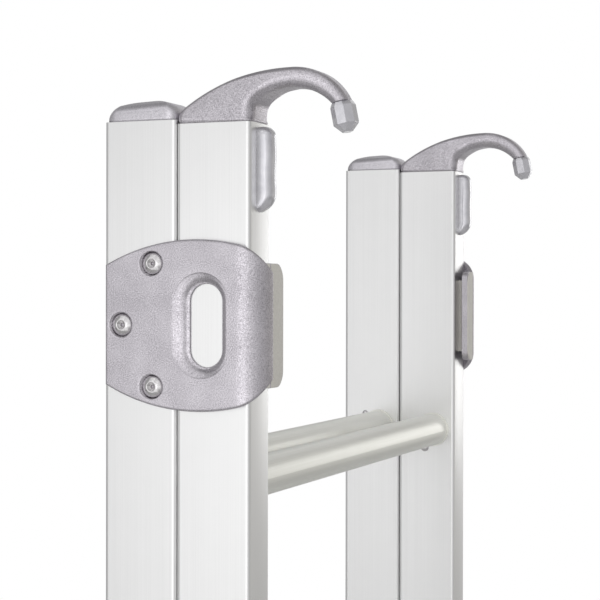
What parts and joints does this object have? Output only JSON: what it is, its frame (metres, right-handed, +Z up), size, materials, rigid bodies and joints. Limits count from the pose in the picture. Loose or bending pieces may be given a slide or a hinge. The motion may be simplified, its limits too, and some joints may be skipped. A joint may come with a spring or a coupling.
{
  "type": "roof tent ladder",
  "caption": "Sliding two-section aluminium ladder with round rungs, cast hooks at its top, wrap-round cast guides and sprung lock pins.",
  "frame": {"origin": "On the floor under the closed ladder, midway between the two stiles and in the middle of the gap between the base section's rails and the hook section's rails.", "axes": "+Z up along the stiles, +X from the base section to the hook section, the way the hooks point, +Y from the left stile to the right one."},
  "size_m": [0.2011, 0.4332, 1.1892],
  "materials": {
    "anodised_rail": "satin anodised",
    "anodised_rung": "satin anodised",
    "rivet_metal": "bright",
    "moulded_cap": "fine grained",
    "foot_rubber": "matte",
    "cast_alloy": "powder grey, fine sparkle",
    "soft_pvc": "smooth, slightly glossy",
    "glide_plastic": "plain",
    "plated_steel": "zinc plated",
    "knob_plastic": "fine grained"
  },
  "bodies": {
    "base_section": {"base_rail_left": "anodised_rail", "base_rail_right": "anodised_rail", "base_top_cap_left": "moulded_cap", "base_top_cap_right": "moulded_cap", "base_foot_left": "foot_rubber", "base_foot_right": "foot_rubber", "base_rung_1": "anodised_rung", "base_rung_2": "anodised_rung", "base_rung_3": "anodised_rung", "base_rung_4": "anodised_rung", "base_rung_rivets": "rivet_metal", "upper_guide_left": "cast_alloy", "upper_guide_right": "cast_alloy", "upper_guide_strip_left": "soft_pvc", "upper_guide_strip_right": "soft_pvc", "upper_guide_liner_left": "glide_plastic", "upper_guide_liner_right": "glide_plastic", "upper_guide_rivets_left": "rivet_metal", "upper_guide_rivets_right": "rivet_metal"},
    "hook_section": {"hook_rail_left": "anodised_rail", "hook_rail_right": "anodised_rail", "hook_left": "cast_alloy", "hook_right": "cast_alloy", "hook_tip_cap_left": "soft_pvc", "hook_tip_cap_right": "soft_pvc", "hook_bumper_left": "soft_pvc", "hook_bumper_right": "soft_pvc", "hook_foot_left": "foot_rubber", "hook_foot_right": "foot_rubber", "hook_rung_1": "anodised_rung", "hook_rung_2": "anodised_rung", "hook_rung_3": "anodised_rung", "hook_rung_4": "anodised_rung", "hook_rung_rivets": "rivet_metal", "lower_guide_left": "cast_alloy", "lower_guide_right": "cast_alloy", "lower_guide_liner_left": "glide_plastic", "lower_guide_liner_right": "glide_plastic", "lower_guide_rivets_left": "rivet_metal", "lower_guide_rivets_right": "rivet_metal", "lock_bush_left": "plated_steel", "lock_bush_right": "plated_steel", "lock_nut_left": "plated_steel", "lock_nut_right": "plated_steel", "lock_spring_left": "plated_steel", "lock_spring_right": "plated_steel"},
    "lock_left": {"lock_pin_left": "plated_steel", "lock_knob_left": "knob_plastic"},
    "lock_right": {"lock_pin_right": "plated_steel", "lock_knob_right": "knob_plastic"}
  },
  "joints": [
    {"name": "hook_section_slide", "type": "slide", "parent": "base_section", "child": "hook_section", "axis": [0, 0, 1], "range_m": [0, 0.825]},
    {"name": "lock_left_slide", "type": "slide", "parent": "hook_section", "child": "lock_left", "axis": [1, 0, 0], "range_m": [0, 0.007], "deforming": ["lock_spring_left"]},
    {"name": "lock_right_slide", "type": "slide", "parent": "hook_section", "child": "lock_right", "axis": [1, 0, 0], "range_m": [0, 0.007], "deforming": ["lock_spring_right"]}
  ]
}
